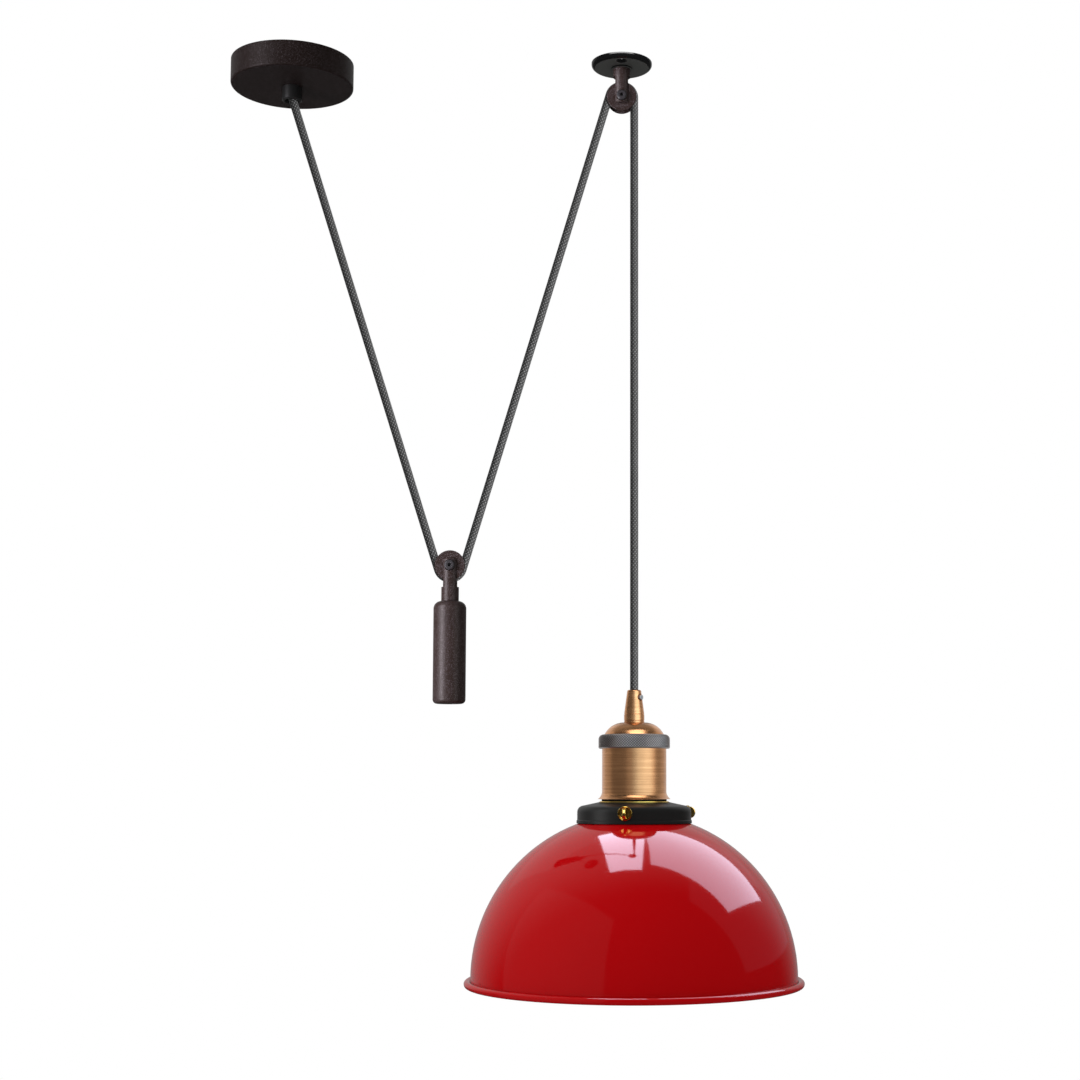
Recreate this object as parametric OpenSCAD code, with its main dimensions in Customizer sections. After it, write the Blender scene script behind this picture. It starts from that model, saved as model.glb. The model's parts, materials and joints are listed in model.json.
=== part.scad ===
// Rise and fall pendant: a ceiling rose, a braided flex that runs down round the wheel of a
// hanging counterweight, up over a second wheel under a ceiling plate, and down to a
// lampholder that carries a dome shade.
//
// Origin: centre of the rose's ceiling face. +Z is up, +X runs from the rose to the pulley,
// and the flex lies in the plane y = 0. All sizes are in millimetres.

/* [Layout] */
// Distance from the rose's axis to the lamp's axis
lamp_x = 260; // [200:1:600]
// Depth of the ceiling pulley's axle below the ceiling
pulley_drop = 27; // [25:1:45]
// Depth of the counterweight's axle below the ceiling
weight_drop = 385; // [200:1:500]
// How far the counterweight hangs beyond the middle of the V of flex
weight_offset = 3.2; // [-5:0.1:10]
// Depth of the top of the lampholder's flex grip below the ceiling
lamp_drop = 477; // [400:1:1200]

/* [Flex] */
// Diameter of the braided flex
flex_d = 6.1; // [5:0.1:6.5]
// Diameter of one insulated core
core_d = 1.9; // [1.4:0.1:1.9]
// Bend radius of the flex where it leaves the rose's grip
tail_bend_r = 18; // [14:1:24]

/* [Ceiling rose] */
// Outer diameter of the rose
rose_d = 92; // [86:1:140]
// Height of the rose
rose_h = 19; // [19:0.5:30]
// Sheet thickness of the rose
rose_wall = 1.2; // [0.8:0.1:1.8]
// Radius of the rose's lower edge
rose_edge_r = 1.6; // [1.2:0.1:4]
// Length of the fixing strap inside the rose
strap_len = 80; // [74:1:82]
// Width of the fixing strap
strap_w = 18; // [16.5:0.5:24]
// Thickness of the fixing strap
strap_t = 1.8; // [1:0.1:2.2]
// Depth of the strap's middle below the ceiling
strap_drop = 12; // [11.5:0.1:12.5]
// Distance between the centres of the strap's two slots
slot_spacing = 62; // [58:1:64]
// Length of each slot, end to end
slot_len = 12; // [8:0.5:14]
// Width of each slot
slot_w = 4.2; // [3.5:0.1:5.5]
// Outer diameter of the hollow threaded nipple
nipple_d = 9.8; // [9.6:0.1:10]
// Bore of the nipple
nipple_bore = 7.4; // [7:0.1:8]
// Outer diameter of the rose's flex grip
rose_grip_d = 15; // [13:0.5:20]
// Length of the rose's flex grip
rose_grip_h = 10.8; // [10:0.1:14]
// Pitch of the terminal block's three ways
terminal_pitch = 8; // [7:0.5:9]

/* [Pulleys] */
// Outer diameter of each pulley wheel
wheel_d = 22.4; // [21:0.1:24]
// Width of each pulley wheel
wheel_w = 8; // [7.8:0.1:8.4]
// Radius at which the middle of the flex runs round a wheel
flex_run_r = 9.5; // [9:0.1:10]
// Diameter of the fork rods
fork_d = 13; // [12.8:0.1:16]
// Distance from the axle to the open end of a fork
fork_tip = 5.3; // [5:0.1:7]
// Distance from the axle to the closed end of a fork's slot
fork_slot = 16; // [13:0.1:18]
// Diameter of the axle screws
axle_d = 4; // [3:0.1:4]
// Outer diameter of the sleeve that a wheel turns on
sleeve_d = 6; // [5.4:0.1:6.6]
// Head diameter of the axle screws
axle_head_d = 7.6; // [6:0.1:8]
// Diameter of the ceiling plate of the pulley
plate_d = 46; // [44:1:80]
// Thickness of the ceiling plate
plate_t = 4; // [3.5:0.1:5]
// Distance between the plate's two fixing holes
plate_hole_spacing = 31; // [30:0.5:33]
// Diameter of the plate's fixing holes
plate_hole_d = 4.4; // [3.5:0.1:4.8]

/* [Counterweight] */
// Diameter of the counterweight's barrel
barrel_d = 24.2; // [22:0.1:32]
// Length of the barrel
barrel_h = 72; // [50:1:110]
// Wall of the barrel's casing
barrel_wall = 2.2; // [1.5:0.1:3]
// Radius of the barrel's shoulder
shoulder_r = 5.6; // [4:0.1:6]
// Depth of the barrel's shoulder below the counterweight's axle
barrel_depth = 26.4; // [22:0.1:34]

/* [Lampholder] */
// Height of the conical flex grip
cone_h = 24; // [22:0.5:32]
// Diameter of the flex grip at its base
cone_base_d = 15; // [13:0.1:17]
// Diameter of the flex grip at its top
cone_top_d = 10.4; // [9.8:0.1:12]
// Diameter of the domed cap where it meets the knurled ring
cap_d = 43.6; // [40:0.1:44]
// Outer diameter of the knurled ring
ring_d = 52.5; // [51:0.1:60]
// Height of the knurled ring
ring_h = 10.3; // [9.5:0.1:14]
// Outer diameter of the holder's body
body_d = 47.2; // [46.4:0.1:48]
// Height of the holder's body
body_h = 39.8; // [38:0.1:60]
// Height of the flare at the bottom of the body
flare_h = 5.8; // [4:0.1:8]
// Diameter of the flare's lower edge
flare_d = 53.3; // [50:0.1:56]
// Sheet thickness of the holder
holder_wall = 1; // [0.6:0.1:1.3]
// Bore of the lamp's screw shell
socket_bore = 26.7; // [26:0.1:27.4]

/* [Gallery and shade] */
// Outer diameter of the gallery's lower edge
gallery_d = 84.4; // [82:0.1:90]
// Height of the gallery
gallery_h = 15.4; // [15:0.1:20]
// Sheet thickness of the gallery
gallery_wall = 1; // [0.8:0.1:1.2]
// Angle of the first thumb screw from the front, seen from below
screw_turn = -9; // [-60:1:60]
// Outer radius of the dome
dome_r = 118.6; // [100:0.1:180]
// Sheet thickness of the shade
shade_wall = 1; // [0.6:0.1:1.4]
// Outer diameter of the shade's collar inside the gallery
collar_d = 75.2; // [72:0.1:76]
// Diameter of the rolled bead round the shade's rim
bead_d = 5; // [4:0.1:7]

/* [Hidden] */
$fn = 96;

// Clearances
run_gap = 0.05;         // radial running fit of a wheel on its sleeve
thread_gap = 0.05;      // radial gap where a plain cylinder stands for a thread
side_gap = 0.3;         // between a wheel and a fork cheek, and between flex and groove
slip_gap = 0.2;         // between pieces that slide over each other when assembled
cut = 1;                // how far a cutting shape runs past the face it cuts
flat_part = 0.1;        // width of the smallest step left between two fillets
weld = 0.05;            // how far joined lengths of one core run into each other
bend_shrink = 0.02;     // how much thinner in radius a core's bend is than its straights
end_gap = 0.05;         // between the ends of two lengths of flex that move apart

// Flex
flex_r = flex_d / 2;
wheel_r = wheel_d / 2;
pulley_x = lamp_x - flex_run_r;
weight_x = pulley_x / 2 - flex_run_r / 2 + weight_offset;
upper_axle = [pulley_x, -pulley_drop];
lower_axle = [weight_x, -weight_drop];
tail_bend_z = -rose_h - 5.2;
tail_centre = [tail_bend_r, tail_bend_z];

// Slope of each arm of the V from the vertical: a common tangent of two circles
arm_span = tail_centre - lower_axle;
left_slope = atan2(-arm_span[0], arm_span[1]) + asin((tail_bend_r - flex_run_r) / norm(arm_span));
rise_span = upper_axle - lower_axle;
right_slope = atan2(rise_span[0], rise_span[1]) - asin(2 * flex_run_r / norm(rise_span));

tail_end = tail_centre - tail_bend_r * [cos(left_slope), sin(left_slope)];
lower_left = lower_axle - flex_run_r * [cos(left_slope), sin(left_slope)];
lower_right = lower_axle + flex_run_r * [cos(right_slope), -sin(right_slope)];
upper_left = upper_axle + flex_run_r * [-cos(right_slope), sin(right_slope)];
upper_right = upper_axle + [flex_run_r, 0];
drop_start = upper_right - [0, wheel_r + side_gap];     // just below the wheel's rim

// Rose
strap_mid_half = 14;    // half length of the strap's lowered middle
strap_slope = 7;        // length of each sloping part, along X
nut_af = 14;            // across flats of the nipple's locknuts
nut_h = 2.6;
nut_r = nut_af / sqrt(3);
nipple_r = nipple_d / 2;
nipple_top = -strap_drop + strap_t + nut_h + 0.6;
nipple_bottom = -rose_h - 5;
sheath_top = nipple_top - 1.4;
core_r = core_d / 2;
core_step = core_d + 0.1;
core_bend = 2.6;
core_high = sheath_top + 1.9 + core_bend;
block_y = 20;           // near face of the terminal block
block_size = [3 * terminal_pitch + 1, 14, 10.6];
block_z = -rose_h + rose_wall;
entry_z = block_z + 5;
entry_r = 1.5;
block_screw_r = 1.7;
block_screw_h = 1.6;

// Pulleys
groove_r = flex_r + side_gap;
slot_gap = wheel_w + 2 * side_gap;
fork_r = fork_d / 2;
spot_y = sqrt(pow(fork_r, 2) - pow(axle_head_d / 2, 2));
axle_r = axle_d / 2;
axle_head_h = 2.6;
axle_nut_h = 3.2;
axle_nut_r = 7 / sqrt(3);
plate_boss_d = 16;
plate_boss_h = 1;
plate_edge_r = 3;
plate_bottom = -plate_t - plate_boss_h;
stem_screw_r = 2.5;
stem_screw_head_r = 5;
stem_screw_len = 4.6;   // how far the plate's screw reaches into the fork
spigot_r = 4;
spigot_h = 14;

// Counterweight
barrel_top = -weight_drop - barrel_depth;
barrel_bottom = barrel_top - barrel_h;
barrel_r = barrel_d / 2;
barrel_bore_r = barrel_r - barrel_wall;
barrel_crown = 17;      // solid depth under the shoulder, which the fork screws into
plug_h = 8;
plug_foot_h = 3.8;      // how far the plug stands below the barrel
plug_foot_edge_r = 3.2;
plug_recess_r = 6.6;
plug_recess_h = 3.2;
plug_key_af = 6;

// Lampholder, from the top down
grip_top = -lamp_drop;
cap_top = grip_top - cone_h;
cone_base_r = cone_base_d / 2;
cap_r = cap_d / 2;
cap_arc_r = 15.4;
cap_arc_x = cone_base_r + 0.4;
cap_edge = cap_top - cap_arc_r + sqrt(pow(cap_arc_r, 2) - pow(cap_r - cap_arc_x, 2));
ring_bottom = cap_edge - ring_h;
ring_lip = 1.8;
cap_flange_top = cap_edge - ring_lip;
cap_flange_h = 5.6;
body_top = cap_flange_top - cap_flange_h;
body_bottom = body_top - body_h;
body_r = body_d / 2;
body_bore_r = body_r - holder_wall;
flare_r = flare_d / 2;
flare_arc_r = (pow(flare_r - body_r, 2) + pow(flare_h, 2)) / (2 * (flare_r - body_r));
drop_end = grip_top - 3;
lamp_sheath_end = cap_top - 3;
set_screw_z = grip_top - 5.6;
set_screw_turn = 52;
set_screw_proud = 1.9;  // how far it stands out of the grip's top
set_screw_r = 1.8;
spot_r = 2.6;
flex_bore_r = flex_r + 0.25;

// Insulator and contacts
insulator_top = body_top - 8;
insulator_r = body_bore_r - slip_gap;
skirt_r = 19.7;
skirt_h = 15.5;
skirt_bottom = body_bottom - skirt_h;
shell_r = socket_bore / 2;
shell_wall = 0.5;
shell_h = 24;
shell_bottom = skirt_bottom + 1.5;
shell_top = shell_bottom + shell_h;
socket_floor = shell_top + 4;
contact_t = 0.6;
terminal_x = 10;
terminal_size = [6, 8, 5];
terminal_screw_r = 1.7;
lamp_core_high = lamp_sheath_end - 2;

// Washers, gallery and shade
neck_washer_t = 1.5;
brass_washer_t = 0.6;
gallery_top = body_bottom - neck_washer_t - brass_washer_t;
gallery_bottom = gallery_top - gallery_h;
gallery_r = gallery_d / 2;
gallery_boss_r = 25.4;
gallery_lip = 0.5;
gallery_lip_h = 2;
gallery_side_r = gallery_r - gallery_lip;
gallery_fillet = 4.6;
gallery_slope_h = 2.6;
ring_nut_h = 4.5;
ring_nut_r = gallery_boss_r - gallery_wall - slip_gap;
thumb_r = 1.7;
thumb_z = gallery_top - 7.8;
thumb_disc_r = 5.2;
thumb_disc_t = 1.3;
thumb_paddle = [2.6, 5.2, 8.6];
collar_r = collar_d / 2;
collar_lip = 0.8;
collar_lip_h = 1.2;
collar_lip_bottom = thumb_z + thumb_r + run_gap;
dome_seat_r = gallery_r - gallery_wall;
dome_z = gallery_bottom - slip_gap - sqrt(pow(dome_r, 2) - pow(dome_seat_r, 2));
bead_r = bead_d / 2;
bead_centre_r = dome_r - shade_wall / 2 + bead_r + 0.2;
bead_drop = 3.3;

bronze = [0.16, 0.125, 0.12];
gloss_black = [0.05, 0.05, 0.055];
satin_black = [0.09, 0.095, 0.09];
screw_black = [0.08, 0.08, 0.09];
copper = [0.66, 0.42, 0.27];
pewter = [0.36, 0.34, 0.34];
brass = [0.78, 0.62, 0.25];
zinc = [0.75, 0.76, 0.78];
flex_grey = [0.25, 0.25, 0.26];
enamel_red = [0.74, 0.04, 0.07];
porcelain = [0.93, 0.92, 0.88];
nylon_black = [0.04, 0.04, 0.04];
core_brown = [0.4, 0.2, 0.1];
core_blue = [0.1, 0.3, 0.75];
core_green = [0.3, 0.65, 0.15];
ballast = [0.35, 0.36, 0.38];

// ---- shared shapes -------------------------------------------------------------------

// Points of an arc round a centre, for the outline of a revolved piece
function arc(centre, r, from, to, steps = 10) =
    [for (i = [0:steps]) centre + r * [cos(from + (to - from) * i / steps), sin(from + (to - from) * i / steps)]];

// A ring or disc between two heights
module tube(outer_r, inner_r, bottom, top) {
    difference() {
        translate([0, 0, bottom]) cylinder(r = outer_r, h = top - bottom);
        translate([0, 0, bottom - cut]) cylinder(r = inner_r, h = top - bottom + 2 * cut);
    }
}

// Half outline of a cup or barrel that stands on z = 0 with its lower edge rounded
module rounded_half(r, h, edge) {
    translate([0, edge]) square([r, h - edge]);
    square([r - edge, h]);
    intersection() {
        translate([r - edge, edge]) circle(edge);
        square([r, h]);
    }
}

// A straight length of round flex between two points of the plane y = 0; a gap may be left
// at both of its ends
module flex_run(from, to, gap = 0) {
    span = to - from;
    translate([from[0], 0, from[1]])
        rotate([0, atan2(span[0], span[1]), 0])
            translate([0, 0, gap]) cylinder(r = flex_r, h = norm(span) - 2 * gap);
}

// A bent length of round flex in the plane y = 0; the angles run from +X towards +Z
module flex_arc(centre, bend_r, from, to) {
    translate([centre[0], 0, centre[1]])
        rotate([90, 0, 0])
            rotate_extrude(angle = to - from, start = from)
                translate([bend_r, 0]) circle(flex_r);
}

// An elbow of core: starts along +Z at the origin and leaves along +Y
module core_elbow() {
    translate([0, core_bend, 0])
        rotate([90, 0, 90])
            rotate_extrude(angle = 90, start = 90)
                translate([core_bend, 0]) circle(core_r - bend_shrink);
}

// A straight length of core that runs into the bends at its ends; start = 0 leaves its
// near end flush
module core_rod(length, start = -weld) {
    translate([0, 0, start]) cylinder(r = core_r, h = length - start + weld);
}

// A hexagonal nut standing on z = 0
module hex_nut(corner_r, bore_r, h) {
    difference() {
        cylinder(r = corner_r, h = h, $fn = 6);
        translate([0, 0, -cut]) cylinder(r = bore_r, h = h + 2 * cut);
    }
}

// ---- ceiling rose --------------------------------------------------------------------

module rose_cup() {
    color(bronze)
        translate([0, 0, -rose_h])
            rotate_extrude()
                difference() {
                    rounded_half(rose_d / 2, rose_h, rose_edge_r);
                    translate([0, rose_wall])
                        rounded_half(rose_d / 2 - rose_wall, rose_h, rose_edge_r - rose_wall + flat_part);
                    translate([0, -cut]) square([nipple_r + slip_gap, rose_wall + 2 * cut]);
                }
}

// Side view of the strap: two ends against the ceiling and a lowered middle
module strap_outline() {
    mid = strap_mid_half;
    foot = strap_mid_half + strap_slope;
    end = strap_len / 2;
    low = -strap_drop;
    polygon([
        [-end, -strap_t], [-foot, -strap_t], [-mid, low], [mid, low], [foot, -strap_t], [end, -strap_t],
        [end, 0], [foot, 0], [mid, low + strap_t], [-mid, low + strap_t], [-foot, 0], [-end, 0]
    ]);
}

module rose_strap() {
    color(zinc)
        difference() {
            translate([0, strap_w / 2, 0]) rotate([90, 0, 0]) linear_extrude(strap_w) strap_outline();
            translate([0, 0, -strap_drop - cut]) cylinder(r = nipple_r + slip_gap, h = strap_t + 2 * cut);
            for (side = [-1, 1])
                translate([side * slot_spacing / 2, 0, -strap_t - cut]) {
                    run = slot_len - slot_w;
                    translate([-run / 2, -slot_w / 2, 0]) cube([run, slot_w, strap_t + 2 * cut]);
                    for (tip = [-1, 1])
                        translate([tip * run / 2, 0, 0]) cylinder(d = slot_w, h = strap_t + 2 * cut);
                }
            earth_screw_place() translate([0, 0, -cut]) cylinder(r = 1.5, h = strap_t + 2 * cut);
        }
}

// The earth screw stands on the underside of the strap's lowered middle
module earth_screw_place() {
    translate([strap_mid_half - 3.2, -strap_w / 2 + 3.4, -strap_drop]) children();
}

module rose_earth_screw() {
    color(brass)
        earth_screw_place() {
            cylinder(r = 1.5 - run_gap, h = strap_t + 1.2);
            difference() {
                translate([0, 0, -1.8]) cylinder(r = 2.8, h = 1.8);
                translate([-4, -0.3, -1.8 - cut]) cube([8, 0.6, 0.8 + cut]);
            }
        }
}

module rose_nipple() {
    color(zinc) tube(nipple_r, nipple_bore / 2, nipple_bottom, nipple_top);
}

module rose_locknuts() {
    color(zinc) {
        translate([0, 0, -strap_drop + strap_t]) hex_nut(nut_r, nipple_r + thread_gap, nut_h);
        translate([0, 0, -strap_drop - nut_h]) hex_nut(nut_r, nipple_r + thread_gap, nut_h);
    }
}

// Nylon grip screwed onto the nipple; it clamps the cup against the strap's nipple
module rose_grip() {
    top = -rose_h;
    bottom = top - rose_grip_h;
    mouth_r = flex_r + 2.4;
    outer_r = rose_grip_d / 2;
    throat = nipple_bottom - 0.4;
    color(nylon_black)
        difference() {
            rotate_extrude()
                polygon([
                    [nipple_r + thread_gap, top], [nipple_r + thread_gap, throat],
                    [flex_bore_r + 0.3, throat], [mouth_r, bottom],
                    [outer_r - 1, bottom], [outer_r, bottom + 1], [outer_r, top]
                ]);
            rose_grip_screw_place() cylinder(r = 1.6, h = outer_r + cut);
        }
}

// The grip's screw comes in from the back, across the flex
module rose_grip_screw_place() {
    translate([0, flex_r + 0.15, tail_bend_z - 2.2]) rotate([-90, 0, 0]) children();
}

module rose_grip_screw() {
    length = rose_grip_d / 2 - flex_r - 0.15 + 0.6;
    color(nylon_black)
        rose_grip_screw_place()
            difference() {
                cylinder(r = 1.6 - run_gap, h = length);
                translate([-2, -0.3, length - 0.8]) cube([4, 0.6, 0.8 + cut]);
            }
}

module terminal_block() {
    color(porcelain)
        difference() {
            translate([-block_size[0] / 2, block_y, block_z]) cube(block_size);
            for (way = [-1:1])
                translate([way * terminal_pitch, 0, 0]) {
                    translate([0, block_y - cut, entry_z])
                        rotate([-90, 0, 0]) cylinder(r = entry_r, h = block_size[1] + 2 * cut);
                    for (depth = [4, 10])
                        translate([0, block_y + depth, entry_z])
                            cylinder(r = block_screw_r + run_gap, h = block_size[2]);
                }
        }
}

module terminal_screws() {
    top = block_z + block_size[2] - 1;
    color(brass)
        for (way = [-1:1], depth = [4, 10])
            translate([way * terminal_pitch, block_y + depth, 0])
                difference() {
                    translate([0, 0, entry_z + core_r + run_gap])
                        cylinder(r = block_screw_r, h = top - entry_z - core_r - run_gap);
                    translate([-3, -0.3, top - 0.7]) cube([6, 0.6, 0.7 + cut]);
                }
}

// One core: up out of the nipple, over the strap's edge, down and into its terminal
module rose_core(way) {
    drop = core_high - 2 * core_bend - entry_z;
    spread = asin((terminal_pitch - core_step) / (block_y + 2));
    reach = strap_w / 2 + core_r + 1.5;
    end = (block_y + 2) / cos(spread);
    translate([way * core_step, 0, sheath_top])
        rotate([0, 0, -way * spread]) {
            core_rod(core_high - core_bend - sheath_top, 0);
            translate([0, 0, core_high - core_bend - sheath_top]) core_elbow();
            translate([0, core_bend, core_high - sheath_top])
                rotate([-90, 0, 0]) core_rod(reach - core_bend);
            translate([0, reach, core_high - sheath_top]) rotate([-90, 0, 0]) core_elbow();
            translate([0, reach + core_bend, core_high - sheath_top - core_bend - drop]) core_rod(drop);
            translate([0, reach + core_bend, core_high - sheath_top - core_bend - drop])
                mirror([0, 0, 1]) core_elbow();
            translate([0, reach + 2 * core_bend, entry_z - sheath_top])
                rotate([-90, 0, 0]) core_rod(end - reach - 2 * core_bend);
        }
}

module rose_core_live() { color(core_brown) rose_core(-1); }
module rose_core_neutral() { color(core_blue) rose_core(0); }
module rose_core_earth() { color(core_green) rose_core(1); }

// ---- pulleys -------------------------------------------------------------------------

module at_axle(axle) {
    translate([axle[0], 0, axle[1]]) children();
}

// Solid of a slotted rod with its axle at the origin and its stem upwards
module fork(stem) {
    chamfer = 0.7;
    difference() {
        rotate_extrude()
            polygon([
                [0, -fork_tip], [fork_r - chamfer, -fork_tip], [fork_r, -fork_tip + chamfer],
                [fork_r, stem], [0, stem]
            ]);
        translate([-fork_r - cut, -slot_gap / 2, -fork_tip - cut])
            cube([fork_d + 2 * cut, slot_gap, fork_tip + cut + fork_slot]);
        rotate([90, 0, 0]) cylinder(r = axle_r + run_gap, h = fork_d + 2 * cut, center = true);
        for (side = [0, 180])
            rotate([90, 0, side]) translate([0, 0, spot_y]) cylinder(r = axle_nut_r + slip_gap, h = fork_r);
    }
}

// Socket screw through both cheeks, its head to the front
module axle_screw() {
    tail = spot_y + axle_nut_h + 0.8;
    head_r = axle_head_d / 2;
    rotate([90, 0, 0])
        difference() {
            rotate_extrude()
                polygon([
                    [0, -tail], [axle_r - 0.4, -tail], [axle_r, -tail + 0.4], [axle_r, spot_y],
                    [head_r, spot_y], [head_r, spot_y + axle_head_h - 0.8],
                    [head_r - 0.8, spot_y + axle_head_h], [0, spot_y + axle_head_h]
                ]);
            translate([0, 0, spot_y + axle_head_h - 1.8]) cylinder(d = 2.9, h = 1.8 + cut, $fn = 6);
        }
}

module axle_nut() {
    rotate([-90, 0, 0]) translate([0, 0, spot_y]) hex_nut(axle_nut_r, axle_r + thread_gap, axle_nut_h);
}

module axle_sleeve() {
    rotate([90, 0, 0]) tube(sleeve_d / 2, axle_r + run_gap, -slot_gap / 2, slot_gap / 2);
}

// Grooved wheel: the groove is round where the flex lies and opens straight to the rim
module pulley_wheel() {
    edge = 0.3;
    half_w = wheel_w / 2;
    rotate([90, 0, 0])
        rotate_extrude()
            difference() {
                polygon([
                    [sleeve_d / 2 + run_gap, -half_w], [wheel_r - edge, -half_w], [wheel_r, -half_w + edge],
                    [wheel_r, half_w - edge], [wheel_r - edge, half_w], [sleeve_d / 2 + run_gap, half_w]
                ]);
                translate([flex_run_r, 0]) circle(groove_r);
                translate([flex_run_r, -groove_r]) square([wheel_r, 2 * groove_r]);
            }
}

module pulley_plate() {
    color(gloss_black)
        translate([pulley_x, 0, 0])
            difference() {
                union() {
                    translate([0, 0, -plate_t])
                        rotate_extrude() rounded_half(plate_d / 2, plate_t, plate_edge_r);
                    translate([0, 0, plate_bottom]) cylinder(d = plate_boss_d, h = plate_boss_h + cut);
                }
                translate([0, 0, plate_bottom - cut]) cylinder(r = stem_screw_r + run_gap, h = plate_t + 3 * cut);
                countersink(stem_screw_r + run_gap, stem_screw_head_r + run_gap, 0);
                for (side = [-1, 1])
                    translate([0, side * plate_hole_spacing / 2, 0]) {
                        translate([0, 0, -plate_t - cut]) cylinder(d = plate_hole_d, h = plate_t + 2 * cut);
                        translate([0, 0, -plate_t]) mirror([0, 0, 1]) countersink(plate_hole_d / 2, 4, 0);
                    }
            }
}

// A cone that widens upwards to head_r at the face, for a countersunk head
module countersink(hole_r, head_r, face) {
    depth = head_r - hole_r;
    translate([0, 0, face - depth]) cylinder(r1 = hole_r, r2 = head_r, h = depth);
    translate([0, 0, face]) cylinder(r = head_r, h = cut);
}

module plate_screw() {
    head_h = stem_screw_head_r - stem_screw_r;
    color(screw_black)
        translate([pulley_x, 0, 0])
            difference() {
                rotate_extrude()
                    polygon([
                        [0, plate_bottom - stem_screw_len], [stem_screw_r, plate_bottom - stem_screw_len],
                        [stem_screw_r, -head_h], [stem_screw_head_r, 0], [0, 0]
                    ]);
                translate([0, 0, -1.8]) cylinder(d = 3.4, h = 1.8 + cut, $fn = 6);
            }
}

module upper_fork() {
    stem = pulley_drop + plate_bottom;
    color(bronze)
        at_axle(upper_axle)
            difference() {
                fork(stem);
                translate([0, 0, stem - stem_screw_len - 0.3])
                    cylinder(r = stem_screw_r + thread_gap, h = stem_screw_len + 0.3 + cut);
            }
}

module upper_axle_screw() { color(screw_black) at_axle(upper_axle) axle_screw(); }
module upper_axle_nut() { color(screw_black) at_axle(upper_axle) axle_nut(); }
module upper_sleeve() { color(brass) at_axle(upper_axle) axle_sleeve(); }
module upper_wheel() { color(bronze) at_axle(upper_axle) pulley_wheel(); }

// ---- flex ----------------------------------------------------------------------------

// From its cut end inside the nipple down to where it leaves the rose's grip
module flex_tail() {
    color(flex_grey)
        union() {
            flex_run([0, tail_bend_z], [0, sheath_top]);
            flex_arc(tail_centre, tail_bend_r, 180, 180 + left_slope);
        }
}

module flex_rose_arm() { color(flex_grey) flex_run(tail_end, lower_left, end_gap); }
module flex_rising_arm() { color(flex_grey) flex_run(lower_right, upper_left, end_gap); }
module flex_drop() { color(flex_grey) flex_run([lamp_x, drop_end], drop_start, end_gap); }

module flex_lower_loop() {
    color(flex_grey) flex_arc(lower_axle, flex_run_r, 180 + left_slope, 360 - right_slope);
}

// Over the ceiling wheel and straight down until it is clear of the wheel's rim
module flex_upper_loop() {
    color(flex_grey)
        union() {
            flex_arc(upper_axle, flex_run_r, 0, 180 - right_slope);
            flex_run(drop_start, upper_right);
        }
}

module flex_lamp_tail() {
    color(flex_grey) flex_run([lamp_x, lamp_sheath_end], [lamp_x, drop_end]);
}

// ---- counterweight -------------------------------------------------------------------

module lower_fork() {
    color(bronze)
        at_axle(lower_axle)
            mirror([0, 0, 1])
                union() {
                    fork(barrel_depth);
                    translate([0, 0, barrel_depth - cut]) cylinder(r = spigot_r, h = spigot_h + cut);
                }
}

module lower_axle_screw() { color(screw_black) at_axle(lower_axle) axle_screw(); }
module lower_axle_nut() { color(screw_black) at_axle(lower_axle) axle_nut(); }
module lower_sleeve() { color(brass) at_axle(lower_axle) axle_sleeve(); }
module lower_wheel() { color(bronze) at_axle(lower_axle) pulley_wheel(); }

// Casing with a solid crown that the fork screws into, open below for the ballast
module weight_barrel() {
    bore_h = barrel_h - barrel_crown;
    color(bronze)
        translate([weight_x, 0, 0])
            difference() {
                translate([0, 0, barrel_top])
                    mirror([0, 0, 1]) rotate_extrude() rounded_half(barrel_r, barrel_h, shoulder_r);
                translate([0, 0, barrel_top - spigot_h - 0.3])
                    cylinder(r = spigot_r + thread_gap, h = spigot_h + 0.3 + cut);
                translate([0, 0, barrel_bottom - cut]) cylinder(r = barrel_bore_r, h = bore_h + cut);
            }
}

module weight_slug() {
    color(ballast)
        translate([weight_x, 0, barrel_bottom + plug_h])
            cylinder(r = barrel_bore_r - slip_gap, h = barrel_h - barrel_crown - plug_h);
}

// Plug in the barrel's lower end, with a recess and a hexagonal keyway
module weight_plug() {
    color(bronze)
        translate([weight_x, 0, barrel_bottom])
            difference() {
                union() {
                    cylinder(r = barrel_bore_r - thread_gap, h = plug_h);
                    translate([0, 0, -plug_foot_h])
                        rotate_extrude() rounded_half(barrel_r, plug_foot_h, plug_foot_edge_r);
                }
                translate([0, 0, -plug_foot_h - cut])
                    cylinder(r = plug_recess_r, h = plug_recess_h + cut);
                translate([0, 0, -plug_foot_h])
                    cylinder(r = plug_key_af / sqrt(3), h = plug_recess_h + 3, $fn = 6);
            }
}

// ---- lampholder ----------------------------------------------------------------------

module at_lamp() {
    translate([lamp_x, 0, 0]) children();
}

// Turned cone with two fine grooves round its base, bored for the flex
module holder_grip() {
    base_h = 6.4;
    groove = 0.25;
    top_r = cone_top_d / 2;
    base_top = cap_top + base_h;
    spot_h = top_r - 0.6 - flex_bore_r;
    color(copper)
        at_lamp()
            difference() {
                rotate_extrude()
                    polygon(concat(
                        [[flex_bore_r, cap_top], [cone_base_r, cap_top],
                         [cone_base_r, cap_top + 0.8], [cone_base_r - groove, cap_top + 1],
                         [cone_base_r - groove, cap_top + 1.4], [cone_base_r, cap_top + 1.6],
                         [cone_base_r, base_top - 0.6], [cone_base_r - groove, base_top - 0.4],
                         [cone_base_r - groove, base_top], [cone_base_r - 0.1, base_top + 0.2]],
                        arc([top_r - 1.2, grip_top - 1.2], 1.2, 0, 90, 6),
                        [[flex_bore_r, grip_top]]
                    ));
                set_screw_place()
                    rotate_extrude()
                        polygon([
                            [0, -cut], [set_screw_r + run_gap, -cut], [set_screw_r + run_gap, spot_h],
                            [spot_r, spot_h], [spot_r, cone_base_d], [0, cone_base_d]
                        ]);
            }
}

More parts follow.
